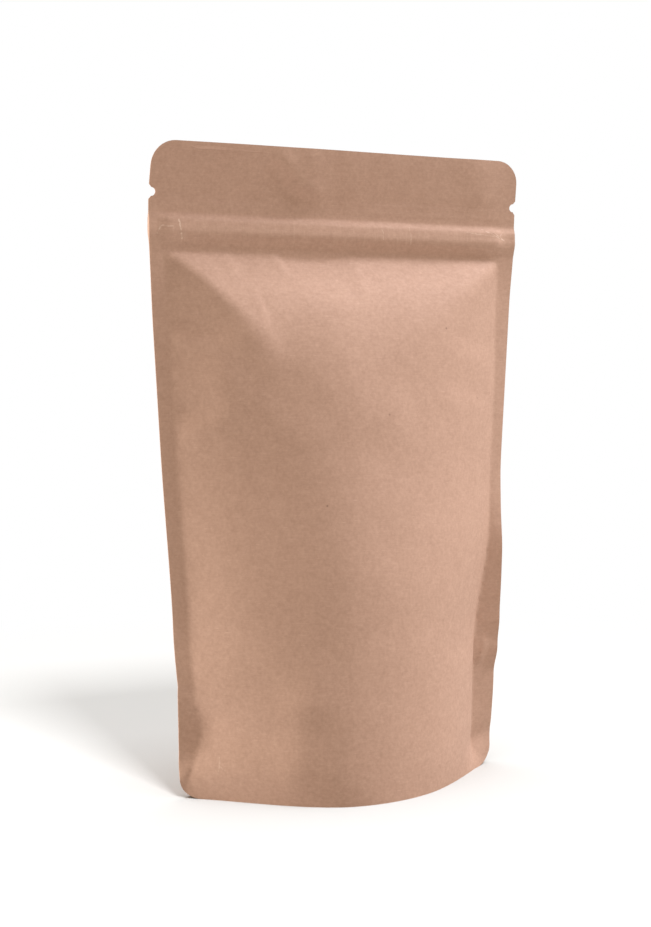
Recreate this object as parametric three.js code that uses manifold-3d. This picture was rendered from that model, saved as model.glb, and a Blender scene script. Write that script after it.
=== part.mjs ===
import * as THREE from "three";
import Module from "manifold-3d";

// A filled and shut stand-up pouch of brown kraft paper: flat heat-sealed side fins, a press-to-close
// strip under a plain top flap with a tear notch at each end, and a folded base that opens to an oval.
// Millimetres, Z up, the front faces -Y, the origin is on the floor under the middle of the pouch.

// Outer size
const HEIGHT = 208; // floor to top edge
const WIDTH = 130; // across the flap
const DRAW_IN = 7.9; // how far each side comes in as the pouch fills out below
const DRAW_IN_TOP = 180; // from this height
const DRAW_IN_END = 36; // down to this one
const FLOOR_DRAW_IN = 0.5; // and by this much more down to the floor
const TOP_CORNER = 7.5; // radius
const BASE_CORNER = 6.2; // radius
const CUT_OVER = 0.03; // a corner's circle runs this far past both edges, so that it meets them cleanly

// Paper and seals. A pair of numbers in square brackets is a span of heights or shares that a change
// takes place over.
const FIN = 0.7; // thickness of the sealed side fins
const SEAL = 5.6; // width of the side seals
const SEAL_EXTRA = 2.2; // they widen by this beside the folded base
const SEAL_EXTRA_SPAN = [28, 38];
const SEAL_END_SPAN = [3, 17]; // and run out to nothing where the base spreads
const SEAL_SOFTENS = [0, 0.12]; // folds in a panel fade out towards the seals
const FLAP_PUFF = 0.35; // how far each layer of the flap stands off at the middle

// Press-to-close strip
const STRIP_LOW = 173.5;
const STRIP_HIGH = 186.4;
const STRIP_RISE = 1.7; // how far it stands out on each side
const STRIP_UNDERSIDE = [STRIP_LOW - 0.3, STRIP_LOW + 4.7];
const STRIP_TOPSIDE = [STRIP_HIGH - 2.8, STRIP_HIGH];
const STRIP_GROOVE = 0.3; // dip between its two ribs
const STRIP_GROOVE_AT = 181.1;
const STRIP_GROOVE_WIDE = 0.9;
const STRIP_CRUSH = 0.25; // share of the rise left inside the side seals
const STRIP_CRUSH_SPAN = [-3, 2]; // from inside the seal's inner edge to outside it

// Body
const SHOULDER = 15; // depth gained just under the strip, each side of the middle plane
const SHOULDER_RUN = 20; // how far down it takes
const SPREAD = 0.0895; // further depth per millimetre down to the floor
const CORNER_LIFT = 18; // steepness of the side facets under the strip's ends
const CORNER_RUN = 22;
const CORNER_POWER = 1.3;
const RIDGE_ROUNDING = 1; // of the ridge from each of those corners, at its top
const RIDGE_SOFTENING = 0.05; // and more per millimetre down
const RIDGE_END = [40, 110]; // distance below the strip over which the ridges die away
const RIDGE_FREE = 0.25;
const BASE_POINT = 0.5; // how much the floor oval narrows towards its ends
const BASE_POINT_SPAN = [0, 28];

// Bends of the middle plane
const LEAN_BACK = 2.3; // back, above the filled part
const LEAN_FROM = [60, 112];
const LEAN_TO = [176, 200];
const FINS_FORWARD = 2; // the fins bend forward beside the folded base
const FINS_FROM = [2, 16];
const FINS_TO = [36, 56];
const CORNER_BACK = 2.5; // but the foot of the right fin bends back
const CORNER_BACK_SPAN = [2, 22];
const FLAP_BEND_FROM = [STRIP_HIGH - 1, STRIP_HIGH + 9];

// Folded base
const SKIRT = 0.9; // wall of the standing skirt
const GUSSET = 38; // height of the fold at the side seals
const GUSSET_EDGE = 5; // height of the base seam at the middle of the skirt
const GUSSET_FLOOR = 3.4; // height of the base panel at the middle
const GUSSET_CREASE = 1.1; // the old centre fold, standing up from it
const CREASE_SHARE = 0.12; // width of that fold, as a share of the base's depth
const SLOT = 1.4; // half width of the narrowest part of the hollow under the base
const END_WALL = 1; // the hollow stops this far before the rounded corners
const ROOF_STEP = 0.5; // of the search for the hollow's height near its ends
const ROOF_SLOPE = 0.8; // steepest fall of its roof towards them

// Tear notches
const NOTCH_DROP = 15.5; // below the top edge
const NOTCH_RADIUS = 1.35;
const NOTCH_DEPTH = 2.15;

// How fine the surfaces are
const BODY_ROWS = 46;
const STRIP_ROWS = 12;
const FLAP_ROWS = 6;
const ROW_CROWDING = 1.2; // power that crowds the body's rows towards the strip
const COLUMNS = 34; // between the two side seals
const PANEL_CROWDING = 0.5; // share of a sine curve that crowds the columns towards the seals
const HOLLOW_CROWDING = 0.65; // and those under the base towards its ends
const WALL_STEPS = 6; // up the inside of the standing skirt
const ARC_STEPS = 24; // around a notch or a corner
const CUT_LENGTH = 90; // front to back, of what the notches and corners are cut with

const KRAFT = 0xc0967c;

// Folds in the paper, each along a line from one [x, z] to another. A "ledge" is pressed in above its
// line and stands out below it, a "crease" is a furrow along its line and a "ridge" stands out along it.
const LEDGE_SWING = 1.6; // brings the two sides of a ledge to about its lift
const FOLD_START = [-0.1, 0.3]; // shares of its length over which a fold rises and dies away
const FOLD_END = [0.6, 1.15];
const FRONT_FOLDS = [
  { kind: "ledge", from: [-62, 151.5], to: [-36, 144], wide: 4.5, lift: 0.75 },
  { kind: "ledge", from: [-59, 119], to: [-39, 125.5], wide: 4.5, lift: 0.6 },
  { kind: "ledge", from: [30, 144.5], to: [57, 139.5], wide: 4.5, lift: 0.65 },
  { kind: "ledge", from: [31, 129], to: [57, 123.5], wide: 4.5, lift: 0.55 },
  { kind: "crease", from: [-40, 174], to: [-35, 164], wide: 2.2, lift: 0.6 },
  { kind: "crease", from: [-20, 174], to: [-15, 163], wide: 2.2, lift: 0.6 },
  { kind: "crease", from: [-2, 174], to: [7, 159], wide: 3.2, lift: 0.7 },
  { kind: "ridge", from: [-31, 164], to: [-27, 151], wide: 2.4, lift: 0.5 },
];
const BACK_FOLDS = [
  { kind: "ledge", from: [-61, 147], to: [-35, 141.5], wide: 4.8, lift: 0.7 },
  { kind: "ledge", from: [-58, 126], to: [-38, 129], wide: 4.5, lift: 0.5 },
  { kind: "ledge", from: [33, 147], to: [61, 151], wide: 4.5, lift: 0.7 },
  { kind: "ledge", from: [36, 126], to: [58, 120], wide: 4.5, lift: 0.55 },
  { kind: "crease", from: [14, 174], to: [9, 162], wide: 2.6, lift: 0.6 },
  { kind: "crease", from: [-24, 174], to: [-30, 161], wide: 2.6, lift: 0.6 },
  { kind: "ridge", from: [33, 165], to: [29, 152], wide: 2.4, lift: 0.45 },
];
const FLAP_FOLDS = [
  { kind: "ridge", from: [-17, 214], to: [-8, 186], wide: 8, lift: 0.9 },
  { kind: "crease", from: [44, 212], to: [55, 188], wide: 9, lift: 0.6 },
];

// 0 before the span, 1 after it, with a smooth step between.
function smooth([from, to], value) {
  const t = Math.min(Math.max((value - from) / (to - from), 0), 1);
  return t * t * (3 - 2 * t);
}

// The smaller of two heights, with the ridge between them rounded over "blend".
function roundedMin(a, b, blend) {
  const near = Math.max(blend - Math.abs(a - b), 0) / blend;
  return Math.min(a, b) - (near * near * blend) / 4;
}

function halfWidth(z) {
  const share = (DRAW_IN_TOP - z) / (DRAW_IN_TOP - DRAW_IN_END);
  const below = FLOOR_DRAW_IN * Math.max(1 - z / DRAW_IN_END, 0);
  return WIDTH / 2 - DRAW_IN * Math.min(Math.max(share, 0), 1) - below;
}

function sealWidth(z) {
  const extra = SEAL_EXTRA * (1 - smooth(SEAL_EXTRA_SPAN, z));
  return (SEAL + extra) * smooth(SEAL_END_SPAN, z);
}

function innerHalf(z) {
  return halfWidth(z) - sealWidth(z);
}

// Lift of one fold at a point of a panel.
function foldLift(fold, x, z) {
  const runX = fold.to[0] - fold.from[0];
  const runZ = fold.to[1] - fold.from[1];
  const length = Math.hypot(runX, runZ);
  const along = ((x - fold.from[0]) * runX + (z - fold.from[1]) * runZ) / length ** 2;
  const across = ((x - fold.from[0]) * runZ - (z - fold.from[1]) * runX) / length / fold.wide;
  const ends = smooth(FOLD_START, along) * (1 - smooth(FOLD_END, along));
  const bell = Math.exp(-across * across);
  if (fold.kind === "ridge") {
    return fold.lift * ends * bell;
  }
  if (fold.kind === "crease") {
    return -fold.lift * ends * bell;
  }
  const downward = runX > 0 ? across : -across;
  return fold.lift * ends * bell * downward * LEDGE_SWING;
}

function foldsLift(folds, x, z) {
  return folds.reduce((sum, fold) => sum + foldLift(fold, x, z), 0);
}

// How far the filled body stands out from the middle plane, on either side.
function bodyDepth(x, z) {
  const down = Math.max(STRIP_LOW - z, 0);
  const middle = SHOULDER * (1 - Math.exp(-down / SHOULDER_RUN)) + SPREAD * down;
  const facet = middle + CORNER_LIFT * Math.exp(-((down / CORNER_RUN) ** CORNER_POWER));
  const point = 1 + BASE_POINT * (1 - smooth(BASE_POINT_SPAN, z));
  const across = Math.max(1 - (x / innerHalf(z)) ** 2, 0) ** point;
  const cap = middle * (1 + RIDGE_FREE * smooth(RIDGE_END, down));
  const rounding = RIDGE_ROUNDING + RIDGE_SOFTENING * down;
  return Math.max(roundedMin(cap, facet * across, rounding), 0);
}

function stripRise(x, z) {
  const up = smooth(STRIP_UNDERSIDE, z) * (1 - smooth(STRIP_TOPSIDE, z));
  const groove = STRIP_GROOVE * Math.exp(-(((z - STRIP_GROOVE_AT) / STRIP_GROOVE_WIDE) ** 2));
  const free = 1 - smooth(STRIP_CRUSH_SPAN, Math.abs(x) - innerHalf(z));
  return (STRIP_RISE - groove) * up * (STRIP_CRUSH + (1 - STRIP_CRUSH) * free);
}

// Distance of a panel from the middle plane.
function panelDepth(x, z, folds) {
  const inside = Math.max(1 - (x / innerHalf(z)) ** 2, 0);
  const puff = FLAP_PUFF * inside * smooth(FLAP_BEND_FROM, z);
  const depth = bodyDepth(x, z) + stripRise(x, z) + puff;
  if (z > STRIP_LOW) {
    return FIN / 2 + depth;
  }
  const lift = foldsLift(folds, x, z) * smooth(SEAL_SOFTENS, inside);
  return FIN / 2 + Math.max(depth + lift, 0);
}

// Bend of the middle plane itself, positive towards the front.
function planeBend(x, z) {
  const atFins = (Math.abs(x) / halfWidth(z)) ** 4;
  const back = LEAN_BACK * smooth(LEAN_FROM, z) * (1 - smooth(LEAN_TO, z));
  const forward = FINS_FORWARD * atFins * smooth(FINS_FROM, z) * (1 - smooth(FINS_TO, z));
  const corner = x > 0 ? CORNER_BACK * atFins ** 2 * (1 - smooth(CORNER_BACK_SPAN, z)) : 0;
  const flap = foldsLift(FLAP_FOLDS, x, z) * smooth(FLAP_BEND_FROM, z);
  return forward - back - corner + flap;
}

function frontY(x, z) {
  return -panelDepth(x, z, FRONT_FOLDS) - planeBend(x, z);
}

function backY(x, z) {
  return panelDepth(x, z, BACK_FOLDS) - planeBend(x, z);
}

// Heights of the rings of vertices, from the floor up.
function ringHeights() {
  const heights = [];
  for (let i = BODY_ROWS; i > 0; i -= 1) {
    heights.push(STRIP_LOW * (1 - (i / BODY_ROWS) ** ROW_CROWDING));
  }
  for (let i = 0; i < STRIP_ROWS; i += 1) {
    heights.push(STRIP_LOW + ((STRIP_HIGH - STRIP_LOW) * i) / STRIP_ROWS);
  }
  for (let i = 0; i <= FLAP_ROWS; i += 1) {
    heights.push(STRIP_HIGH + ((HEIGHT - STRIP_HIGH) * i) / FLAP_ROWS);
  }
  return heights;
}

// Column j of the evenly spaced places from -1 to 1, moved towards its nearer end.
function crowded(j, crowding) {
  const u = (2 * j) / COLUMNS - 1;
  return (1 - crowding) * u + crowding * Math.sin((Math.PI / 2) * u);
}

// Places across a panel at one height, from the left edge to the right one.
function columnPlaces(z) {
  const inner = innerHalf(z);
  const places = [-halfWidth(z)];
  for (let j = 0; j <= COLUMNS; j += 1) {
    places.push(inner * crowded(j, PANEL_CROWDING));
  }
  places.push(halfWidth(z));
  return places;
}

// A closed mesh through rings of equally many points, each ring a front run and a back run.
function skinRings(rings, size) {
  const around = 2 * size;
  const positions = rings.flat(2);
  const faces = [];
  const quad = (a, b, c, d) => {
    faces.push(a, b, c, a, c, d);
  };
  for (let i = 0; i + 1 < rings.length; i += 1) {
    for (let j = 0; j < around; j += 1) {
      const next = (j + 1) % around;
      const low = [i * around + j, i * around + next];
      const high = [(i + 1) * around + j, (i + 1) * around + next];
      // The edge across each patch slants with the folds that run down from the panel's upper corners.
      if (j % size < size / 2) {
        quad(low[1], high[1], high[0], low[0]);
      } else {
        quad(low[0], low[1], high[1], high[0]);
      }
    }
  }
  const top = (rings.length - 1) * around;
  for (let j = 0; j + 1 < size; j += 1) {
    const back = around - 1 - j;
    quad(j, back, back - 1, j + 1);
    quad(top + j, top + j + 1, top + back - 1, top + back);
  }
  return { positions, faces };
}

function pouchSkin() {
  const rings = ringHeights().map((z) => {
    const places = columnPlaces(z);
    const front = places.map((x) => [x, frontY(x, z), z]);
    const back = places.map((x) => [x, backY(x, z), z]);
    return [...front, ...back.reverse()];
  });
  return skinRings(rings, COLUMNS + 3);
}

// Height of the folded base panel over the floor. "v" runs from -1 at the front seam to 1 at the back.
function gussetHeight(x, v) {
  const share = Math.min(Math.abs(x) / innerHalf(0), 1);
  const seam = GUSSET_EDGE + (GUSSET - GUSSET_EDGE) * (1 - Math.sqrt(1 - share * share));
  const fold = GUSSET_FLOOR + (GUSSET - GUSSET_FLOOR) * share ** 4;
  const crease = GUSSET_CREASE * Math.exp(-((v / CREASE_SHARE) ** 2)) * (1 - share);
  return fold + (seam - fold) * v * v + crease;
}

// The hollow under the base: between the skirt's walls, up to the base panel. At its two ends the
// walls close in on each other, and its roof comes down with them.
function baseHollow() {
  const under = -1;
  const front = (x, z) => frontY(x, Math.max(z, 0)) + SKIRT;
  const back = (x, z) => backY(x, Math.max(z, 0)) - SKIRT;
  const halfGap = (x, z) => (back(x, z) - front(x, z)) / 2;
  const reach = halfWidth(0) - BASE_CORNER - END_WALL;
  const openTo = (x) => {
    let z = 0;
    while (z < GUSSET && halfGap(x, z + ROOF_STEP) > SLOT) {
      z += ROOF_STEP;
    }
    return z;
  };
  const roofAt = (x) => {
    let roof = GUSSET;
    for (let out = 0; out + Math.abs(x) < reach + ROOF_STEP; out += ROOF_STEP) {
      roof = Math.min(roof, openTo(x + out * Math.sign(x)) + ROOF_SLOPE * out);
    }
    return roof;
  };
  const size = 2 * (WALL_STEPS + 1);
  const rings = [];
  for (let i = 0; i <= COLUMNS; i += 1) {
    const x = reach * crowded(i, HOLLOW_CROWDING);
    const roof = roofAt(x);
    const seam = Math.min(gussetHeight(x, 1), roof);
    const heights = [under];
    for (let k = 0; k < WALL_STEPS; k += 1) {
      heights.push((seam * k) / WALL_STEPS);
    }
    const frontWall = heights.map((z) => [x, front(x, z), z]);
    const backWall = heights.map((z) => [x, back(x, z), z]);
    const middle = (front(x, seam) + back(x, seam)) / 2;
    const panel = [];
    for (let k = 0; k < size; k += 1) {
      const v = 1 - (2 * k) / (size - 1);
      panel.push([x, middle + halfGap(x, seam) * v, Math.min(gussetHeight(x, v), roof)]);
    }
    rings.push([...frontWall.reverse(), ...backWall, ...panel]);
  }
  return skinRings(rings, size);
}

// A round bar lying front to back.
function crossBar(x, z, radius, length) {
  const geometry = new THREE.CylinderGeometry(radius, radius, length, ARC_STEPS);
  geometry.translate(x, 0, z);
  return geometry;
}

function makeSolid(wasm, positions, faces) {
  const mesh = new wasm.Mesh({
    numProp: 3,
    vertProperties: Float32Array.from(positions),
    triVerts: Uint32Array.from(faces),
  });
  mesh.merge();
  return new wasm.Manifold(mesh);
}

function solidOf(wasm, geometry) {
  const positions = geometry.getAttribute("position").array;
  const faces = geometry.index.array;
  return makeSolid(wasm, positions, faces);
}

// What the die cuts off one corner of the flat pouch: a square less a quarter disc. "side" is -1 or 1
// for left or right, "up" is -1 or 1 for a corner of the base or of the flap.
function cornerWaste(wasm, side, edgeX, up, edgeZ, radius) {
  const square = new THREE.BoxGeometry(2 * radius, CUT_LENGTH, 2 * radius);
  const x = side * (edgeX - radius + CUT_OVER);
  const z = edgeZ - up * (radius - CUT_OVER);
  square.translate(x + side * radius, 0, z + up * radius);
  const disc = crossBar(x, z, radius, CUT_LENGTH + 2);
  return solidOf(wasm, square).subtract(solidOf(wasm, disc));
}

const wasm = await Module();
wasm.setup();

const skin = pouchSkin();
const hollow = baseHollow();
let pouch = makeSolid(wasm, skin.positions, skin.faces);
pouch = pouch.subtract(makeSolid(wasm, hollow.positions, hollow.faces));
for (const side of [-1, 1]) {
  pouch = pouch.subtract(cornerWaste(wasm, side, WIDTH / 2, 1, HEIGHT, TOP_CORNER));
  pouch = pouch.subtract(cornerWaste(wasm, side, halfWidth(BASE_CORNER), -1, 0, BASE_CORNER));
  const notchX = side * (WIDTH / 2 - NOTCH_DEPTH + NOTCH_RADIUS);
  const notch = crossBar(notchX, HEIGHT - NOTCH_DROP, NOTCH_RADIUS, CUT_LENGTH);
  pouch = pouch.subtract(solidOf(wasm, notch));
}

function toMesh(solid, name, colour) {
  const data = solid.getMesh();
  const count = data.vertProperties.length / data.numProp;
  const positions = new Float32Array(count * 3);
  for (let i = 0; i < count; i += 1) {
    for (let k = 0; k < 3; k += 1) {
      positions[i * 3 + k] = data.vertProperties[i * data.numProp + k];
    }
  }
  const geometry = new THREE.BufferGeometry();
  geometry.setAttribute("position", new THREE.BufferAttribute(positions, 3));
  geometry.setIndex(new THREE.BufferAttribute(Uint32Array.from(data.triVerts), 1));
  geometry.computeVertexNormals();
  const material = new THREE.MeshStandardMaterial({ color: colour, roughness: 0.8, metalness: 0 });
  const mesh = new THREE.Mesh(geometry, material);
  mesh.name = name;
  return mesh;
}

const group = new THREE.Group();
group.name = "kraft_stand_up_pouch";
group.add(toMesh(pouch, "pouch", KRAFT));

export default group;
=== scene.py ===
"""A filled and shut kraft paper stand-up pouch: its fine surface, paper, light and camera.

The surface follows the same kind of shape functions as the CAD solid, in millimetres with the front facing
-Y, on a much finer grid, with the small folds, ribs and cut edges of the real paper.
"""
import math

import bpy
import numpy as np
from mathutils import Matrix, Vector


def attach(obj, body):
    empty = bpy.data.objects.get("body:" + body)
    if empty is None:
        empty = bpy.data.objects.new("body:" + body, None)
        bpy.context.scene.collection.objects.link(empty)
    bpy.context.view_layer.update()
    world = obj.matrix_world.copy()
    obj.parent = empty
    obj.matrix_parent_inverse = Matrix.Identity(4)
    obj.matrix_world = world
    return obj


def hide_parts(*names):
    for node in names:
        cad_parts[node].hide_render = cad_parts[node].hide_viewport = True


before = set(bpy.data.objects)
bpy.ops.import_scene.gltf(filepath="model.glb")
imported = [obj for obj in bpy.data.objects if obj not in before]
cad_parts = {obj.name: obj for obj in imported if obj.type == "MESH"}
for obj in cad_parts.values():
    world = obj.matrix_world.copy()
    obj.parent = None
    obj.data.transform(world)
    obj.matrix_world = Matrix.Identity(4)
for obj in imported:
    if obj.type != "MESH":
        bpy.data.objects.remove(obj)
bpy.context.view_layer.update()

# ---------------------------------------------------------------- sizes, in millimetres
# A pair in brackets is a span: the two places between which a change comes in or dies out.
MM_PER_METRE = 1000.0
WIDTH, HEIGHT = 130.0, 208.0

# Cut outline: it draws in towards the base, and has round corners and two tear notches.
DRAW_IN, FLOOR_DRAW_IN = 7.9, 0.5
DRAW_IN_TOP, DRAW_IN_END = 180.0, 36.0
TOP_CORNER, BASE_CORNER = 7.5, 6.2
NOTCH_HEIGHT, NOTCH_RADIUS, NOTCH_DEPTH = HEIGHT - 15.5, 1.35, 2.15

# Side seals: both widen at the foot, the left one tapers to the floor, the right one widens at the top.
FIN, THINNEST_SEAL = 0.42, 0.5
SEAL_LEFT, SEAL_LEFT_FOOT, SEAL_LEFT_FOOT_END = 4.6, 2.2, (24, 34)
SEAL_LEFT_AT_FLOOR, SEAL_LEFT_TAPER = 0.15, (0, 23)
SEAL_RIGHT, SEAL_RIGHT_FOOT, SEAL_RIGHT_FOOT_END = 4.6, 4.5, (40, 86)
SEAL_RIGHT_TOP, SEAL_RIGHT_TOP_START = 1.2, (125, 160)
BASE_OPEN_LEFT, BASE_OPEN_RIGHT = (-3, 14), (-2, 11)

# Body: its depth in the middle, its round sides, and the slow fall towards its left.
SHOULDER, SHOULDER_RUN, SPREAD = 15.0, 20.0, 0.0895
SHOULDER_SOFT, SHOULDER_SOFT_RUN, SHOULDER_SOFT_ACROSS = 0.46, 6.0, (0.55, 0.85)
LEFT_TO_RIGHT = (-26, 22)
FLOOR_POWER, RIGHT_POWER_CUT, RIGHT_POWER_END = 1.5, 0.1, (30, 90)
RIGHT_CORNER, RIGHT_CORNER_RUN = 18.0, 20.0
LEFT_FALL, LEFT_FALL_RUN = 0.3, 0.4
LOW_SWELL, LOW_SWELL_DOWN = 0.25, (36, 90)
BLEND_LEFT, BLEND_LEFT_GROWTH = 0.9, 0.045
BLEND_RIGHT, BLEND_RIGHT_GROWTH = 2.0, 0.08

# The flat facet at the upper left, which fades out under a slanting foot.
FACET_SLOPE, FACET_FOOT, FACET_TILT = 0.415, 154.0, 0.42
FACET_FADE_ABOVE, FACET_FADE_BELOW, FACET_FADE_GROWTH, FACET_FADE_INSIDE = 4, 5, 17, (4, 32)

# Press-to-close strip: its slopes, then its fine lines as (height, half width, lift), then its ribs.
STRIP_LOW, STRIP_HIGH = 174.3, 187.6
STRIP_RISE, STRIP_TILT = 1.75, 0.006
STRIP_FOOT_SLOPE = (175.2, 180.6)
STRIP_TOP_SLOPES = ((0.82, (183.6, 186.4)), (0.18, (180.6, 184.6)))
STRIP_IN_SEAL, STRIP_END = 0.5, (-2.5, 2.5)
STRIP_LINES = ((188.8, 0.7, 0.09), (191.2, 0.6, 0.06), (183.6, 0.5, -0.05))
RIB_HEIGHTS, RIB_HALF, RIB_DEPTH = (176.0, 178.0, 180.0, 182.2), 0.45, 0.06
RIB_ON_LEFT, RIB_TO_RIGHT = 0.3, (38, 58)

# Flap: two layers that puff a little, and a lean that grows towards the top left.
FLAP_PUFF, FLAP_START = 0.35, (STRIP_HIGH - 1, STRIP_HIGH + 9)
FLAP_LEAN, FLAP_LEAN_ACROSS, FLAP_LEAN_UP = 3.6, (-50, 60), (190, 212)

# Handled paper: each panel has faint waves, fainter at the base and from the strip up, and none on its seals.
# The flap has waves of its own.
COCKLE_WAVES, COCKLE_LENGTHS, COCKLE_SLOPE = 14, (9, 26), 0.012
COCKLE_LEAST, COCKLE_ABOVE, COCKLE_BELOW = 0.35, (6, 20), (165, 176)
COCKLE_FLAP = (STRIP_HIGH, STRIP_HIGH + 8)
SEAM_EASE = (0, 0.12)
FRONT_SEED, BACK_SEED, FLAP_SEED = 11, 23, 5

# Bends of the pouch's middle plane, as (forward, span where it starts, span where it ends).
BEND_BACK = (-2.3, (60, 112), (184, 212))
BEND_AT_FINS = (2.0, (2, 16), (36, 56))
BEND_RIGHT_CORNER, BEND_RIGHT_CORNER_END = -2.5, (0, 32)
LEFT_FIN_BENDS = [(-1.3, (3, 13), (150, 178)), (-1.25, (3, 13), (44, 60))]
RIGHT_FIN_BENDS = [(1.7, (42, 52), (74, 92)), (-0.9, (88, 104), (160, 178)), (-2.4, (3, 13), (32, 42))]

# Folded base behind a thin skirt. In the middle its seam is at GUSSET_EDGE and its fold at GUSSET_FLOOR, and
# both rise to GUSSET at the sides. A small crease runs along its middle line.
SKIRT = 0.45
GUSSET, GUSSET_EDGE, GUSSET_FLOOR = 38.0, 5.0, 3.4
GUSSET_CREASE, GUSSET_CREASE_HALF, GUSSET_HALF = 1.1, 0.12, 56.6

# Folds, as (kind, x0, z0, x1, z1, width, lift).
FRONT_FOLDS = [
    ("ridge", -51, 167.0, -34, 150, 2.6, 0.22),
    ("ledge", -63, 151.5, -44, 145.5, 4.0, 0.6),
    ("ridge", -42, 150, -44, 120, 7.0, 1.05),
    ("ridge", -37, 154, -29.5, 130, 6.5, 0.9),
    ("ledge", -59, 119, -39, 125.5, 5.5, 0.7),
    ("ledge", 30, 146.5, 58, 141.5, 4.5, 0.16),
    ("ledge", 31, 130, 58, 124.5, 4.5, 0.18),
    ("ridge", -42, 176, -37, 165, 1.9, 0.22),
    ("ridge", -24.5, 176, -20.5, 167, 1.8, 0.28),
    ("crease", -20.6, 174.5, -19.2, 170, 1.0, 0.3),
    ("crease", -12, 178, -8, 158, 13, 0.7),
    ("ridge", 3, 176, 6, 160, 2.6, 0.22),
    ("crease", -30.2, 161, -27.6, 153, 0.9, 0.16),
    ("ridge", -32.4, 163, -29.4, 152, 1.6, 0.12),
    ("ridge", -47, 24, -15, 33, 5.0, 0.6),
    ("crease", -42, 43, -18, 31, 6.0, 0.25),
    ("crease", -33, 124, -22, 40, 12.0, 0.7),
    ("ridge", -15, -6, -15, 44, 9.5, 0.65),
    ("ridge", -28, 0, -21, 45, 6.0, 0.9),
]
BACK_FOLDS = [
    ("ledge", -61, 147, -35, 141.5, 5.5, 0.8),
    ("ledge", -58, 126, -38, 129, 5.0, 0.4),
    ("ledge", 33, 147, 61, 151, 5.5, 0.7),
    ("ledge", 36, 126, 58, 120, 5.0, 0.45),
    ("crease", 14, 176, 9, 162, 2.6, 0.35),
    ("ridge", -24, 176, -29, 163, 2.2, 0.4),
    ("ridge", 33, 168, 29, 152, 2.4, 0.35),
    ("ridge", 44, 25, 18, 36, 5.5, 0.7),
    ("crease", 39, 43, 21, 34, 6.0, 0.5),
    ("ridge", 16, 66, 31, 104, 11, 0.4),
]
FLAP_FOLDS = [
    ("ledge", -26, 205.5, -9.5, 188.5, 3.6, -0.95),
    ("ridge", -13, 208, -7.5, 185, 5.0, 0.7),
    ("ridge", -6, 214, 0, 184, 9, 0.3),
    ("ridge", 49, 214, 51, 184, 9, 0.55),
    ("ridge", 2, 204, 6, 188, 4, 0.12),
]
FIN_FOLDS = [
    ("ridge", 53.5, 45, 49.5, 35, 1.3, 0.4),
    ("ridge", -61, 36.0, -50, 36.8, 1.7, 0.4),
]
# A fold comes in and dies out over these spans, as shares of its length.
FOLD_START, FOLD_END, LEDGE_GAIN = (-0.1, 0.3), (0.6, 1.15), 1.6


# ---------------------------------------------------------------- smooth changes
def rise(span, value):
    """From 0 at the first end of a span to 1 at its other end."""
    low, high = span
    t = np.clip((value - low) / (high - low), 0.0, 1.0)
    return t * t * (3.0 - 2.0 * t)


def fall(span, value):
    return 1 - rise(span, value)


def bell(value, centre, half):
    return np.exp(-(((value - centre) / half) ** 2))


def dome(share):
    """1 in the middle, 0 at a share of 1 and past it."""
    return np.maximum(1 - share ** 2, 0.0)


def rounded_min(a, b, blend):
    near = np.maximum(blend - np.abs(a - b), 0.0) / blend
    return np.minimum(a, b) - near * near * blend / 4.0


# ---------------------------------------------------------------- outline and seals
def half_width(z):
    share = np.clip((DRAW_IN_TOP - z) / (DRAW_IN_TOP - DRAW_IN_END), 0.0, 1.0)
    return WIDTH / 2 - DRAW_IN * share - FLOOR_DRAW_IN * np.maximum(1 - z / DRAW_IN_END, 0.0)


def cut_half(z):
    """Half width of the cut outline, with its rounded corners and tear notches."""
    half = half_width(z)
    up = np.clip(z - (HEIGHT - TOP_CORNER), 0.0, TOP_CORNER)
    half = half - TOP_CORNER + np.sqrt(np.maximum(TOP_CORNER ** 2 - up ** 2, 0.0))
    down = np.clip(BASE_CORNER - z, 0.0, BASE_CORNER)
    half = half - BASE_CORNER + np.sqrt(np.maximum(BASE_CORNER ** 2 - down ** 2, 0.0))
    notch = NOTCH_RADIUS ** 2 - (z - NOTCH_HEIGHT) ** 2
    round_end = WIDTH / 2 - NOTCH_DEPTH + NOTCH_RADIUS - np.sqrt(np.maximum(notch, 0.0))
    return np.where(notch > 0, np.minimum(half, round_end), half)


def seal_full(x, z):
    """Width of the side seal, as if it ran on to the floor."""
    taper = SEAL_LEFT_AT_FLOOR + (1 - SEAL_LEFT_AT_FLOOR) * rise(SEAL_LEFT_TAPER, z)
    left = (SEAL_LEFT + SEAL_LEFT_FOOT * fall(SEAL_LEFT_FOOT_END, z)) * taper
    right = SEAL_RIGHT + SEAL_RIGHT_TOP * rise(SEAL_RIGHT_TOP_START, z)
    right = right + SEAL_RIGHT_FOOT * fall(SEAL_RIGHT_FOOT_END, z)
    return np.where(x < 0, left, right)


def seal_open(x, z):
    """From 0 at the floor, where the base spreads to the cut edge, to 1 where the side seals are whole."""
    return np.where(x < 0, rise(BASE_OPEN_LEFT, z), rise(BASE_OPEN_RIGHT, z))


def seal_width(x, z):
    return seal_full(x, z) * seal_open(x, z)


def inner_half(x, z):
    return half_width(z) - seal_width(x, z)


def fin_share(x, z):
    """From 0 at the inner edge of a side fin to 1 at its cut edge."""
    seal = np.maximum(seal_width(x, z), THINNEST_SEAL)
    return np.clip((np.abs(x) - inner_half(x, z)) / seal, 0.0, 1.0)


# ---------------------------------------------------------------- folds and cockle
def fold_lift(fold, x, z):
    """A ridge stands out, a crease goes in, and a ledge does one on each side of its line."""
    kind, x0, z0, x1, z1, wide, lift = fold
    run_x, run_z = x1 - x0, z1 - z0
    length = math.hypot(run_x, run_z)
    along = ((x - x0) * run_x + (z - z0) * run_z) / length ** 2
    across = ((x - x0) * run_z - (z - z0) * run_x) / length / wide
    size = lift * rise(FOLD_START, along) * fall(FOLD_END, along) * np.exp(-across * across)
    if kind == "ridge":
        return size
    if kind == "crease":
        return -size
    return size * (across if run_x > 0 else -across) * LEDGE_GAIN


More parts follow.
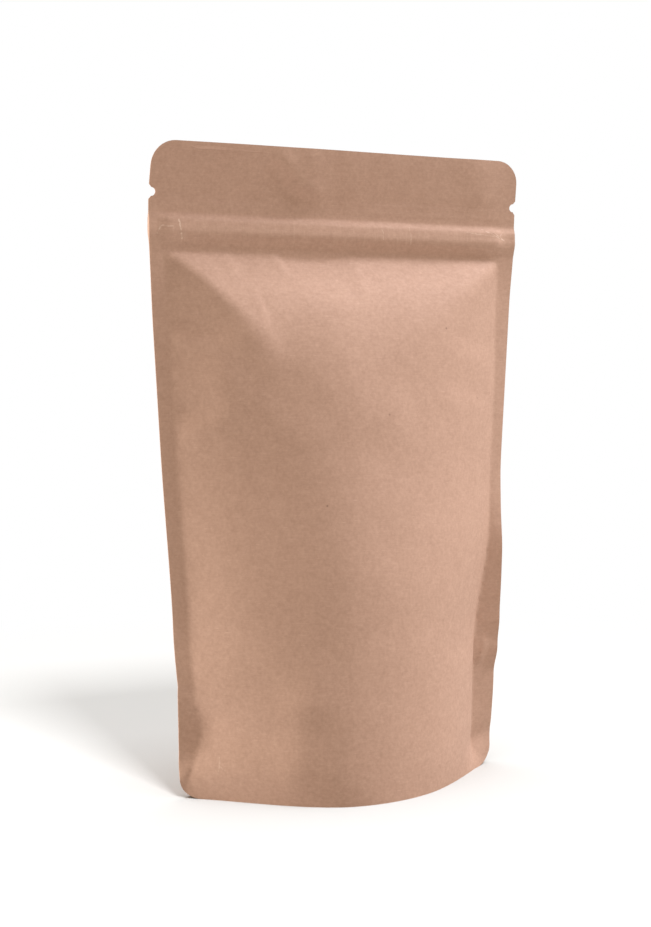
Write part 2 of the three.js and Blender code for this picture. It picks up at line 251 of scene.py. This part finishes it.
def folds_lift(folds, x, z):
    return sum(fold_lift(fold, x, z) for fold in folds)


def cockle(x, z, seed):
    """Faint unevenness of paper that has been handled."""
    draw = np.random.default_rng(seed)
    total = np.zeros_like(x)
    for _ in range(COCKLE_WAVES):
        length = draw.uniform(*COCKLE_LENGTHS)
        turn = draw.uniform(0, math.pi)
        phase = draw.uniform(0, 2 * math.pi)
        wave = (x * math.cos(turn) + z * math.sin(turn)) * 2 * math.pi / length
        total = total + np.cos(wave + phase) * length
    return total * COCKLE_SLOPE / (2 * math.pi * math.sqrt(COCKLE_WAVES / 2))


# ---------------------------------------------------------------- the two panels
def across_shape(x, z, right):
    """The body's round shape from seal to seal, which opens to the cut edge at the floor."""
    full = half_width(z)
    at_floor = dome(x / full) ** FLOOR_POWER
    above = dome(x / (full - seal_full(x, z))) ** (1 - RIGHT_POWER_CUT * fall(RIGHT_POWER_END, z) * right)
    return at_floor + (above - at_floor) * seal_open(x, z)


def body_depth(x, z):
    """How far a panel's body stands out from the seals."""
    down = np.maximum(STRIP_LOW - z, 0.0)
    right = rise(LEFT_TO_RIGHT, x)
    left = 1 - right
    inner = inner_half(x, z)
    share = np.abs(x) / inner

    soft = SHOULDER_SOFT * np.exp(-down / SHOULDER_SOFT_RUN) * fall(SHOULDER_SOFT_ACROSS, share)
    middle = (SHOULDER * (1 - np.exp(-down / SHOULDER_RUN)) + SPREAD * down) * (1 - soft)
    corner = RIGHT_CORNER * np.exp(-down / RIGHT_CORNER_RUN) * right
    curve = (middle + corner) * across_shape(x, z, right)

    inside = np.maximum(inner + x, 0.0)
    below_foot = FACET_FOOT - FACET_TILT * inside - z
    fade = FACET_FADE_BELOW + FACET_FADE_GROWTH * rise(FACET_FADE_INSIDE, inside)
    on_facet = fall((-FACET_FADE_ABOVE, fade), below_foot) * left
    side = curve + (FACET_SLOPE * inside - curve) * on_facet

    drop = LEFT_FALL * left * share ** 2 / (share ** 2 + LEFT_FALL_RUN ** 2)
    cap = middle * (1 - drop + (LOW_SWELL + drop) * rise(LOW_SWELL_DOWN, down))
    blend = (BLEND_LEFT + BLEND_LEFT_GROWTH * down) * left + (BLEND_RIGHT + BLEND_RIGHT_GROWTH * down) * right
    return np.maximum(rounded_min(cap, side, blend), 0.0)


def strip_rise(x, z):
    """The strip under the paper: a sloping top, a flat middle and a sloping foot, with lines and ribs."""
    z = z + STRIP_TILT * x
    up = rise(STRIP_FOOT_SLOPE, z) * sum(share * fall(span, z) for share, span in STRIP_TOP_SLOPES)
    lines = sum(lift * bell(z, height, half) for height, half, lift in STRIP_LINES)
    ribs = sum(bell(z, height, RIB_HALF) for height in RIB_HEIGHTS)
    ribs = ribs * (RIB_ON_LEFT + (1 - RIB_ON_LEFT) * rise(RIB_TO_RIGHT, x))
    free = fall(STRIP_END, np.abs(x) - inner_half(x, z))
    return (STRIP_RISE * up + lines - RIB_DEPTH * ribs) * (STRIP_IN_SEAL + (1 - STRIP_IN_SEAL) * free)


def panel_depth(x, z, folds, seed):
    """Distance from the pouch's middle plane to the outside of one panel."""
    inside = dome(x / inner_half(x, z))
    free = rise(SEAM_EASE, inside)
    depth = body_depth(x, z) + strip_rise(x, z) + FLAP_PUFF * inside * rise(FLAP_START, z)
    lift = np.where(z > STRIP_LOW, 0.0, folds_lift(folds, x, z) * free)
    amount = COCKLE_LEAST + (1 - COCKLE_LEAST) * rise(COCKLE_ABOVE, z) * fall(COCKLE_BELOW, z)
    uneven = cockle(x, z, seed) * free * amount
    return FIN / 2 + np.maximum(depth + lift + uneven, 0.0)


def bend_at(bend, z):
    forward, start, end = bend
    return forward * rise(start, z) * fall(end, z)


def plane_bend(x, z):
    """How far the pouch's middle plane lies forward, with its fins and its flap."""
    at_fins = (np.abs(x) / half_width(z)) ** 4
    plane = bend_at(BEND_BACK, z) + bend_at(BEND_AT_FINS, z) * at_fins
    corner = BEND_RIGHT_CORNER * at_fins ** 2 * fall(BEND_RIGHT_CORNER_END, z)
    left_fin = sum(bend_at(bend, z) for bend in LEFT_FIN_BENDS)
    right_fin = sum(bend_at(bend, z) for bend in RIGHT_FIN_BENDS)
    fins = fin_share(x, z) * np.where(x < 0, left_fin, right_fin)
    flap = folds_lift(FLAP_FOLDS, x, z) * rise(FLAP_START, z)
    flap = flap + cockle(x, z, FLAP_SEED) * rise(COCKLE_FLAP, z)
    flap = flap + FLAP_LEAN * fall(FLAP_LEAN_ACROSS, x) * rise(FLAP_LEAN_UP, z)
    return plane + np.where(x > 0, corner, 0.0) + fins + flap + folds_lift(FIN_FOLDS, x, z)


def front_y(x, z):
    return -panel_depth(x, z, FRONT_FOLDS, FRONT_SEED) - plane_bend(x, z)


def back_y(x, z):
    return panel_depth(x, z, BACK_FOLDS, BACK_SEED) - plane_bend(x, z)


# ---------------------------------------------------------------- grid
# Rows as (up to this height, about this step), finest on the strip, with rows of their own on the corners
# and the notches.
BODY_ROWS = [(40, 0.95), (140, 1.05), (STRIP_LOW - 1, 0.75), (STRIP_HIGH + 0.6, 0.42)]
FLAP_ROW, FLAP_TOP_ROW = 0.9, 0.95
BASE_CORNER_ROWS, TOP_CORNER_ROWS = 9, 11
NOTCH_ROWS, NOTCH_TURN, NOTCH_LIP = 9, 75, 0.06
EDGE_ZONE, EDGE_COLUMNS, INNER_COLUMNS = 9.0, 12, 122


def even_rows(start, end, step):
    count = max(1, round((end - start) / step))
    return [start + (end - start) * (k + 1) / count for k in range(count)]


def ring_heights():
    notch_low, notch_high = NOTCH_HEIGHT - NOTCH_RADIUS, NOTCH_HEIGHT + NOTCH_RADIUS
    top_start = HEIGHT - TOP_CORNER
    rows = [BASE_CORNER * (1 - math.cos(turn)) for turn in np.linspace(0, math.pi / 2, BASE_CORNER_ROWS)]
    for end, step in BODY_ROWS + [(notch_low, FLAP_ROW)]:
        rows += even_rows(rows[-1], end, step)
    rows.append(notch_low + NOTCH_LIP)
    for turn in np.linspace(-NOTCH_TURN, NOTCH_TURN, NOTCH_ROWS):
        rows.append(NOTCH_HEIGHT + NOTCH_RADIUS * math.sin(math.radians(turn)))
    rows += [notch_high - NOTCH_LIP, notch_high]
    rows += even_rows(notch_high, top_start, FLAP_TOP_ROW)
    corner_turns = np.linspace(0, math.pi / 2, TOP_CORNER_ROWS)[1:]
    rows += [top_start + TOP_CORNER * math.sin(turn) for turn in corner_turns]
    return np.array(rows)


def column_places(z):
    """Places across at each height: an even middle, and two outer zones that end on the cut outline."""
    middle = half_width(z) - EDGE_ZONE
    right = middle + (cut_half(z) - middle) * np.linspace(0, 1, EDGE_COLUMNS + 1)[1:]
    return np.concatenate([-right[::-1], middle * np.linspace(-1, 1, INNER_COLUMNS + 1), right])


# ---------------------------------------------------------------- top edge and folded base
# A share is of the distance from the front to the back at that place.
TOP_LAYER, TOP_LAYER_SHARE = 0.17, 0.42
TOP_GAP_SHARE, TOP_GAP_DEPTH, TOP_GAP_END = 0.03, 2.2, (50, 57)
ROOM_STEP, ROOM_LEAST, ROOM_SLOPE, ROOM_CLEAR = 0.25, 0.35, 0.9, 0.3
WALL_STEPS, WALL_SHARE, ROOF_STEPS, ROOF_EASE = 12, 0.4, 24, (0.0, 1.5)


def top_edge(front, back):
    """Lines from the front to the back of the top edge: two layers with a hairline gap between them."""
    x, front_edge, back_edge = front[:, 0], front[:, 1], back[:, 1]
    gap = back_edge - front_edge
    middle = (front_edge + back_edge) / 2
    layer = np.minimum(TOP_LAYER, gap * TOP_LAYER_SHARE)
    top = np.full_like(x, HEIGHT)
    bottom = top - TOP_GAP_DEPTH * fall(TOP_GAP_END, np.abs(x))
    return np.array([
        np.stack([x, front_edge + layer, top], -1),
        np.stack([x, middle - gap * TOP_GAP_SHARE, bottom], -1),
        np.stack([x, middle + gap * TOP_GAP_SHARE, bottom], -1),
        np.stack([x, back_edge - layer, top], -1),
    ])


def rim(grid, corner_rows):
    """The base's edge in a grid: down the left corner, along the floor and up the right corner."""
    left, right = grid[1:corner_rows + 1, 0], grid[1:corner_rows + 1, -1]
    return np.concatenate([left[::-1], grid[0], right])


def gusset_height(x, v):
    """Height of the folded base, v going from -1 at the front seam to 1 at the back seam."""
    share = np.minimum(np.abs(x) / GUSSET_HALF, 1.0)
    seam = GUSSET_EDGE + (GUSSET - GUSSET_EDGE) * (1 - np.sqrt(1 - share * share))
    fold = GUSSET_FLOOR + (GUSSET - GUSSET_FLOOR) * share ** 4
    crease = GUSSET_CREASE * bell(v, 0.0, GUSSET_CREASE_HALF) * (1 - share)
    return fold + (seam - fold) * v * v + crease


def hollow_room(x, z):
    """How far the hollow under the base may rise over each place on the rim.

    It stops where the panels close in, and it rises no steeper than a slope from the places further out.
    """
    scan = np.arange(0, GUSSET + ROOM_STEP / 2, ROOM_STEP)
    scan_x = np.repeat(x[:, None], len(scan), 1)
    scan_z = z[:, None] + scan[None]
    shut = (back_y(scan_x, scan_z) - front_y(scan_x, scan_z)) / 2 - SKIRT < ROOM_LEAST
    open_to = scan[np.where(shut.any(1), shut.argmax(1), len(scan) - 1)]
    further_out = (np.abs(x[None]) >= np.abs(x[:, None])) & (x[None] * x[:, None] >= 0)
    slope_limit = open_to[None] + ROOM_SLOPE * np.abs(x[None] - x[:, None])
    limit = np.where(further_out, slope_limit, np.inf).min(1)
    return np.maximum(np.minimum(limit, open_to) - ROOM_CLEAR, 0.0)


def base_lines(front, back):
    """Lines from the front rim to the back rim: up the skirt, across the folded base and down again."""
    x, z = front[:, 0], front[:, 2]
    room = hollow_room(x, z)
    seam = np.minimum(np.maximum(gusset_height(x, 1.0) - z, 0), room)
    wall = np.minimum(SKIRT, (back[:, 1] - front[:, 1]) * WALL_SHARE)
    wall_heights = [z + seam * k / WALL_STEPS for k in range(WALL_STEPS + 1)]
    front_seam, back_seam = front_y(x, z + seam) + wall, back_y(x, z + seam) - wall
    ease = rise(ROOF_EASE, room)
    lines = [np.stack([x, front_y(x, height) + wall, height], -1) for height in wall_heights]
    for k in range(1, ROOF_STEPS):
        v = -1 + 2 * k / ROOF_STEPS
        y = (front_seam + back_seam) / 2 + (back_seam - front_seam) / 2 * v
        roof = np.minimum(np.maximum(gusset_height(x, v), z), z + room)
        lines.append(np.stack([x, y, z * (1 - ease) + roof * ease], -1))
    lines += [np.stack([x, back_y(x, height) - wall, height], -1) for height in wall_heights[::-1]]
    return np.array(lines)


# ---------------------------------------------------------------- mesh
SHARP_EDGE = 50


class Shell:
    """Points and four-sided faces, gathered grid by grid."""

    def __init__(self):
        self.points, self.faces, self.count = [], [], 0

    def add(self, grid):
        """Adds a grid of points and gives their numbers."""
        numbers = self.count + np.arange(grid.shape[0] * grid.shape[1]).reshape(grid.shape[:2])
        self.points.append(grid.reshape(-1, 3))
        self.count += numbers.size
        return numbers

    def skin(self, numbers, flip=False):
        """Faces between the neighbours in a grid of point numbers."""
        a, b = numbers[:-1, :-1].ravel(), numbers[:-1, 1:].ravel()
        c, d = numbers[1:, 1:].ravel(), numbers[1:, :-1].ravel()
        self.faces.append(np.stack([d, c, b, a] if flip else [a, b, c, d], -1))

    def bridge(self, from_edge, grid, to_edge, flip=False):
        self.skin(np.vstack([from_edge[None], self.add(grid), to_edge[None]]), flip)

    def mesh(self, name):
        points = np.concatenate(self.points) / MM_PER_METRE
        faces = np.concatenate(self.faces)
        mesh = bpy.data.meshes.new(name)
        mesh.vertices.add(len(points))
        mesh.vertices.foreach_set("co", points.astype(np.float32).ravel())
        mesh.loops.add(faces.size)
        mesh.loops.foreach_set("vertex_index", faces.astype(np.int32).ravel())
        mesh.polygons.add(len(faces))
        mesh.polygons.foreach_set("loop_start", np.arange(0, faces.size, 4, dtype=np.int32))
        mesh.update(calc_edges=True)
        mesh.validate()
        mesh.polygons.foreach_set("use_smooth", np.ones(len(faces), bool))
        mesh.set_sharp_from_angle(angle=math.radians(SHARP_EDGE))
        return mesh


def pouch_mesh():
    heights = ring_heights()
    x = np.array([column_places(z) for z in heights])
    z = np.repeat(heights[:, None], x.shape[1], 1)
    front = np.stack([x, front_y(x, z), z], -1)
    back = np.stack([x, back_y(x, z), z], -1)
    corner_rows = BASE_CORNER_ROWS - 1

    shell = Shell()
    front_numbers, back_numbers = shell.add(front), shell.add(back)
    shell.skin(front_numbers)
    shell.skin(back_numbers, flip=True)
    shell.skin(np.stack([front_numbers[:, 0], back_numbers[:, 0]]))
    shell.skin(np.stack([front_numbers[:, -1], back_numbers[:, -1]]), flip=True)
    shell.bridge(front_numbers[-1], top_edge(front[-1], back[-1]), back_numbers[-1])
    base = base_lines(rim(front, corner_rows), rim(back, corner_rows))
    shell.bridge(rim(front_numbers, corner_rows), base, rim(back_numbers, corner_rows), flip=True)

    mesh = shell.mesh("kraft_pouch")
    on_front = mesh.attributes.new("front", "FLOAT", "POINT")
    on_front.data.foreach_set("value", (np.arange(shell.count) < front_numbers.size).astype(np.float32))
    rows, columns = x.shape
    triangles = 2 * len(mesh.polygons)
    print("pouch mesh", shell.count, "vertices", triangles, "triangles", rows, "x", columns)
    return mesh


pouch = bpy.data.objects.new("kraft_pouch", pouch_mesh())
bpy.context.scene.collection.objects.link(pouch)


# ---------------------------------------------------------------- paper
# Pulp, as name: (turn and stretch, scale, detail, roughness, change of tone).
# PAPER_ROUGH, PALE_FIBRE and CRACK_BREAKS are ramps, as (from, to, result at from, result at to).
PULP = {
    "cloud": (None, 0.045, 3.0, 0.55, 0.1),
    "patch": (None, 0.24, 3.0, 0.6, 0.1),
    "blot": (None, 0.45, 2.0, 0.5, 0.14),
    "mottle": (None, 0.95, 3.0, 0.65, 0.34),
    "grain": (((0, 0, 0), (0.16, 0.5, 2.4)), 1.0, 3.0, 0.6, 0.04),
    "fibre_a": (((0, 0.5, 0), (0.35, 0.5, 3.4)), 1.0, 2.0, 0.5, 0.08),
    "fibre_b": (((0, -0.9, 0), (0.3, 0.5, 3.0)), 1.0, 2.0, 0.5, 0.08),
}
TONE_REACH = 0.25
PAPER_DARK, PAPER_LIGHT = (0.35, 0.198, 0.133, 1), (0.584, 0.359, 0.26, 1)
PAPER_GLOSS = 0.5
PAPER_ROUGH = (0.2, 0.8, 0.86, 0.74)

SPECK_TURN, SPECK_SCALE = (0, 0.3, 0), 0.13
SPECK_FROM_CENTRE, SPECK_CHOSEN = (0.035, 0.06), (0.8, 0.9)
SPECK_AMOUNT, SPECK_COLOUR = 0.55, (0.16, 0.08, 0.05, 1)
PALE_FIBRE, PALE_FIBRE_COLOUR = (0.69, 0.8, 0.0, 0.35), (0.66, 0.44, 0.33, 1)

STRIP_PAPER_LOW, STRIP_PAPER_HIGH = (176.5, 178.5), (186.0, 183.5)
WRINKLE_STRETCH, WRINKLE_DETAIL, WRINKLE_ROUGH = ((0, 0.06, 0), (1.5, 0.3, 0.16)), 3.0, 0.6
WRINKLE_SEEN, WRINKLE_AMOUNT, WRINKLE_COLOUR = (0.56, 0.72), 0.14, (0.66, 0.46, 0.35, 1)

CRACK_SHAKE, CRACK_SHAKE_SCALE, CRACK_SHAKE_DETAIL = 0.9, 0.9, 2.0
CRACK_CORE, CRACK_REACH = 0.5, 2.0
CRACK_BREAKS, CRACK_COLOUR = (0.35, 0.6, 0.05, 0.75), (0.72, 0.52, 0.4, 1)

MOTTLE_RELIEF, GRAIN_RELIEF, FIBRE_RELIEF, WRINKLE_RELIEF, CRACK_RELIEF = 0.6, 0.12, 0.3, 1.5, 0.8
BUMP_DISTANCE, BUMP_STRENGTH = 0.00006, 0.5

# Light cracked lines in the paper, (x0, z0, x1, z1, half width, strength) in millimetres on the front.
FRONT_CRACKS = [
    (-55.6, 184.2, -54.4, 178.4, 0.17, 1.0),
    (-62.6, 179.6, -61.2, 182.2, 0.14, 0.8),
    (-61.2, 182.2, -57.6, 181.8, 0.12, 0.7),
    (14.4, 184.6, 14.8, 180.0, 0.11, 0.55),
    (24.6, 184.4, 25.0, 178.6, 0.11, 0.6),
    (46.0, 183.6, 56.6, 182.4, 0.1, 0.5),
    (52.0, 184.9, 58.6, 182.0, 0.12, 0.8),
    (56.6, 183.8, 60.6, 181.2, 0.13, 0.9),
    (58.8, 182.6, 60.4, 184.2, 0.11, 0.6),
    (-45.8, 14.2, -46.4, 8.6, 0.13, 0.6),
    (-45.8, 11.4, -44.8, 10.2, 0.1, 0.5),
    (-58.6, 12.4, -60.6, 6.4, 0.2, 0.6),
]


class Nodes:
    """Adds shader nodes. An input is a number, a tuple or another node's output."""

    def __init__(self, tree):
        self.tree = tree

    def put(self, socket, value):
        if isinstance(value, bpy.types.NodeSocket):
            self.tree.links.new(value, socket)
        else:
            socket.default_value = value

    def add(self, kind, out, settings, inputs):
        node = self.tree.nodes.new("ShaderNode" + kind)
        for name, value in settings.items():
            setattr(node, name, value)
        for name, value in inputs.items():
            self.put(node.inputs[name], value)
        return node.outputs[out]

    def math(self, operation, *values):
        return self.add("Math", "Value", {"operation": operation}, dict(enumerate(values)))

    def product(self, *values):
        result = values[0]
        for value in values[1:]:
            result = self.math("MULTIPLY", result, value)
        return result

    def vector(self, operation, *values, out="Vector"):
        return self.add("VectorMath", out, {"operation": operation}, dict(enumerate(values)))

    def stretch(self, vector, turn, scale):
        return self.add("Mapping", "Vector", {}, {"Vector": vector, "Rotation": turn, "Scale": scale})

    def noise(self, vector, scale, detail, roughness):
        inputs = {"Vector": vector, "Scale": scale, "Detail": detail, "Roughness": roughness}
        return self.add("TexNoise", "Fac", {}, inputs)

    def ramp(self, value, low, high, to_low=0.0, to_high=1.0):
        inputs = {"Value": value, "From Min": low, "From Max": high, "To Min": to_low, "To Max": to_high}
        return self.add("MapRange", "Result", {}, inputs)

    def mix(self, factor, a, b):
        node = self.tree.nodes.new("ShaderNodeMix")
        node.data_type = "RGBA"
        for socket, value in ((node.inputs[0], factor), (node.inputs[6], a), (node.inputs[7], b)):
            self.put(socket, value)
        return node.outputs[2]


def pulp_layers(make, place):
    """Cloudy patches, fine mottling, and fibres laid mostly across the web."""
    layers = {}
    for name, (stretch, scale, detail, roughness, _) in PULP.items():
        where = make.stretch(place, *stretch) if stretch else place
        layers[name] = make.noise(where, scale, detail, roughness)
    return layers


def pulp_colour(make, layers):
    tone = 0.0
    for name, layer in layers.items():
        change = PULP[name][-1]
        tone = make.math("ADD", make.math("MULTIPLY_ADD", layer, change, -change / 2), tone)
    return make.mix(make.ramp(tone, -TONE_REACH, TONE_REACH), PAPER_DARK, PAPER_LIGHT)


def add_specks(make, place, layers, colour):
    """Sparse dark specks and pale fibres."""
    where = make.stretch(place, SPECK_TURN, (1, 1, 1))
    distance = make.add("TexVoronoi", "Distance", {}, {"Vector": where, "Scale": SPECK_SCALE})
    chance = make.add("SeparateColor", "Red", {}, {"Color": distance.node.outputs["Color"]})
    speck = make.product(make.ramp(distance, *SPECK_FROM_CENTRE, 1.0, 0.0), make.ramp(chance, *SPECK_CHOSEN))
    colour = make.mix(make.product(speck, SPECK_AMOUNT), colour, SPECK_COLOUR)
    pale = make.ramp(make.math("MAXIMUM", layers["fibre_a"], layers["fibre_b"]), *PALE_FIBRE)
    return make.mix(pale, colour, PALE_FIBRE_COLOUR)


def crack_lines(make, place):
    """1 along the lines on the front where the paper was creased hard, and 0 away from them."""
    inputs = {"Vector": place, "Scale": CRACK_SHAKE_SCALE, "Detail": CRACK_SHAKE_DETAIL}
    shake = make.add("TexNoise", "Color", {}, inputs)
    size, shift = (CRACK_SHAKE, 0.0, CRACK_SHAKE), (-CRACK_SHAKE / 2, 0.0, -CRACK_SHAKE / 2)
    shaken = make.vector("ADD", place, make.vector("MULTIPLY_ADD", shake, size, shift))
    flat = make.vector("MULTIPLY", shaken, (1.0, 0.0, 1.0))
    crack = 0.0
    for x0, z0, x1, z1, half, strength in FRONT_CRACKS:
        run = Vector((x1 - x0, 0.0, z1 - z0))
        start = make.vector("SUBTRACT", flat, (x0, 0.0, z0))
        along = make.vector("DOT_PRODUCT", start, tuple(run / run.length_squared), out="Value")
        along = make.math("MAXIMUM", make.math("MINIMUM", along, 1.0), 0.0)
        along = make.add("CombineXYZ", "Vector", {}, {"X": along, "Z": along})
        away = make.vector("DISTANCE", start, make.vector("MULTIPLY", along, tuple(run)), out="Value")
        line = make.ramp(away, half * CRACK_CORE, half * CRACK_REACH, strength, 0.0)
        crack = make.math("MAXIMUM", crack, line)
    return make.product(crack, make.add("Attribute", "Fac", {"attribute_name": "front"}, {}))


def strip_wrinkles(make, place):
    """Where the strip is pressed through the paper, and the fine upright wrinkles there."""
    height = make.add("SeparateXYZ", "Z", {}, {"Vector": place})
    on_strip = make.product(make.ramp(height, *STRIP_PAPER_LOW), make.ramp(height, *STRIP_PAPER_HIGH))
    wrinkle = make.noise(make.stretch(place, *WRINKLE_STRETCH), 1.0, WRINKLE_DETAIL, WRINKLE_ROUGH)
    return on_strip, wrinkle


def kraft_material():
    material = bpy.data.materials.new("kraft_paper")
    material.use_nodes = True
    tree = material.node_tree
    shader = tree.nodes["Principled BSDF"]
    make = Nodes(tree)
    place = make.vector("MULTIPLY", make.add("TexCoord", "Object", {}, {}), (MM_PER_METRE,) * 3)

    layers = pulp_layers(make, place)
    crack = crack_lines(make, place)
    on_strip, wrinkle = strip_wrinkles(make, place)
    colour = add_specks(make, place, layers, pulp_colour(make, layers))
    colour = make.mix(make.product(crack, make.ramp(layers["mottle"], *CRACK_BREAKS)), colour, CRACK_COLOUR)
    wrinkled = make.product(on_strip, make.ramp(wrinkle, *WRINKLE_SEEN), WRINKLE_AMOUNT)
    colour = make.mix(wrinkled, colour, WRINKLE_COLOUR)

    relief = make.product(layers["mottle"], MOTTLE_RELIEF)
    for layer, amount in (
        (layers["grain"], GRAIN_RELIEF),
        (layers["fibre_a"], FIBRE_RELIEF),
        (layers["fibre_b"], FIBRE_RELIEF),
        (make.product(on_strip, wrinkle), WRINKLE_RELIEF),
        (crack, CRACK_RELIEF),
    ):
        relief = make.math("ADD", relief, make.product(layer, amount))
    bump = {"Height": relief, "Distance": BUMP_DISTANCE, "Strength": BUMP_STRENGTH}

    make.put(shader.inputs["Base Color"], colour)
    make.put(shader.inputs["Roughness"], make.ramp(layers["mottle"], *PAPER_ROUGH))
    make.put(shader.inputs["Normal"], make.add("Bump", "Normal", {}, bump))
    shader.inputs["Specular IOR Level"].default_value = PAPER_GLOSS
    return material


pouch.data.materials.append(kraft_material())

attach(pouch, "root")
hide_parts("pouch")


# ---------------------------------------------------------------- floor
# The sheet's half size, and where it starts to fade and has faded out, in metres.
FLOOR_HALF = 6.0
FLOOR_ALBEDO, FLOOR_ROUGH, FLOOR_GLOSS = (0.5, 0.5, 0.5, 1), 0.9, 0.1
FADE_START, FADE_END = 0.2, 0.36


def floor_material():
    """A pale sheet that runs out to plain white away from the object, so it has no horizon."""
    material = bpy.data.materials.new("floor_white")
    material.use_nodes = True
    tree = material.node_tree
    make = Nodes(tree)
    sheet = tree.nodes["Principled BSDF"]
    sheet.inputs["Base Color"].default_value = FLOOR_ALBEDO
    sheet.inputs["Roughness"].default_value = FLOOR_ROUGH
    sheet.inputs["Specular IOR Level"].default_value = FLOOR_GLOSS
    reach = make.vector("LENGTH", make.add("TexCoord", "Object", {}, {}), out="Value")
    span = {"Value": reach, "From Min": FADE_START, "From Max": FADE_END}
    fade = make.add("MapRange", "Result", {"interpolation_type": "SMOOTHSTEP"}, span)
    seen = make.product(fade, make.add("LightPath", "Is Camera Ray", {}, {}))
    glow = make.add("Emission", "Emission", {}, {})
    blend = make.add("MixShader", "Shader", {}, {0: seen, 1: sheet.outputs["BSDF"], 2: glow})
    make.put(tree.nodes["Material Output"].inputs["Surface"], blend)
    return material


def floor_object():
    size = FLOOR_HALF
    corners = [(-size, -size, 0), (size, -size, 0), (size, size, 0), (-size, size, 0)]
    mesh = bpy.data.meshes.new("floor")
    mesh.from_pydata(corners, [], [(0, 1, 2, 3)])
    floor = bpy.data.objects.new("floor", mesh)
    bpy.context.scene.collection.objects.link(floor)
    floor.data.materials.append(floor_material())
    return floor


floor = floor_object()


# ---------------------------------------------------------------- light
# Lights, as (name, azimuth, elevation, distance, size, power, colour), in degrees, metres and watts.
AIM = Vector((0, 0, 0.1))
POUCH_LIGHTS = [
    ("key_right", 75, 58, 1.2, 0.5, 24.4, (0.97, 1.02, 1.12)),
    ("fill_left", -110, 15, 1.2, 0.4, 17.6, (1.0, 1.01, 1.0)),
]
FLOOR_LIGHTS = [
    ("floor_front", 3, 48, 2.4, 0.5, 61.0, (1.0, 1.0, 1.0)),
    ("floor_top", 0, 89, 1.8, 1.4, 45.0, (0.97, 1.01, 1.06)),
]
AMBIENT, AMBIENT_COLOUR = 0.402, (1.12, 0.96, 0.72, 1)


def way_to(azimuth, elevation):
    """Direction from the object. Azimuth 0 is in front of it and 90 on its right."""
    turn, up = math.radians(azimuth), math.radians(elevation)
    return Vector((math.sin(turn) * math.cos(up), -math.cos(turn) * math.cos(up), math.sin(up)))


def area_light(name, azimuth, elevation, distance, size, power, colour, group):
    """A square soft light, aimed at the object, that lights one group alone."""
    way = way_to(azimuth, elevation)
    data = bpy.data.lights.new(name, "AREA")
    data.shape = "SQUARE"
    data.size = size
    data.energy = power
    data.color = colour
    light = bpy.data.objects.new(name, data)
    light.location = AIM + way * distance
    light.rotation_euler = way.to_track_quat("Z", "Y").to_euler()
    light.light_linking.receiver_collection = group
    bpy.context.scene.collection.objects.link(light)


def light_piece(name, piece, lights):
    group = bpy.data.collections.new(name)
    group.objects.link(piece)
    for light in lights:
        area_light(*light, group)


def studio_world():
    """Even light on the object, and plain white behind it."""
    world = bpy.data.worlds.new("studio")
    world.use_nodes = True
    tree = world.node_tree
    make = Nodes(tree)
    seen = make.add("LightPath", "Is Camera Ray", {}, {})
    background = tree.nodes["Background"]
    make.put(background.inputs["Color"], make.mix(seen, AMBIENT_COLOUR, (1, 1, 1, 1)))
    make.put(background.inputs["Strength"], make.ramp(seen, 0.0, 1.0, AMBIENT, 1.0))
    bpy.context.scene.world = world


studio_world()
light_piece("lit_pouch", pouch, POUCH_LIGHTS)
light_piece("lit_floor", floor, FLOOR_LIGHTS)

# ---------------------------------------------------------------- camera
# Angles in degrees and places in metres, with the sensor and the lens in millimetres.
CAMERA_AZIMUTH, CAMERA_ELEVATION, CAMERA_ROLL = -22.39, 3.46, -0.06
CAMERA_DISTANCE = 0.49104
CAMERA_TARGET = Vector((-0.00622, 0.0, 0.10628))
CAMERA_SENSOR, CAMERA_LENS, CAMERA_NEAR = 36.0, 58.01, 0.01


def place_camera():
    back = way_to(CAMERA_AZIMUTH, CAMERA_ELEVATION)
    right = (-back).cross(Vector((0, 0, 1))).normalized()
    up = right.cross(-back)
    roll = math.radians(CAMERA_ROLL)
    right, up = right * math.cos(roll) + up * math.sin(roll), up * math.cos(roll) - right * math.sin(roll)
    data = bpy.data.cameras.new("camera")
    data.sensor_width = CAMERA_SENSOR
    data.lens = CAMERA_LENS
    data.clip_start = CAMERA_NEAR
    camera = bpy.data.objects.new("camera", data)
    basis = Matrix((right, up, back)).transposed().to_4x4()
    camera.matrix_world = Matrix.Translation(CAMERA_TARGET + back * CAMERA_DISTANCE) @ basis
    bpy.context.scene.collection.objects.link(camera)
    bpy.context.scene.camera = camera


place_camera()
bpy.context.scene.view_settings.view_transform = "Standard"
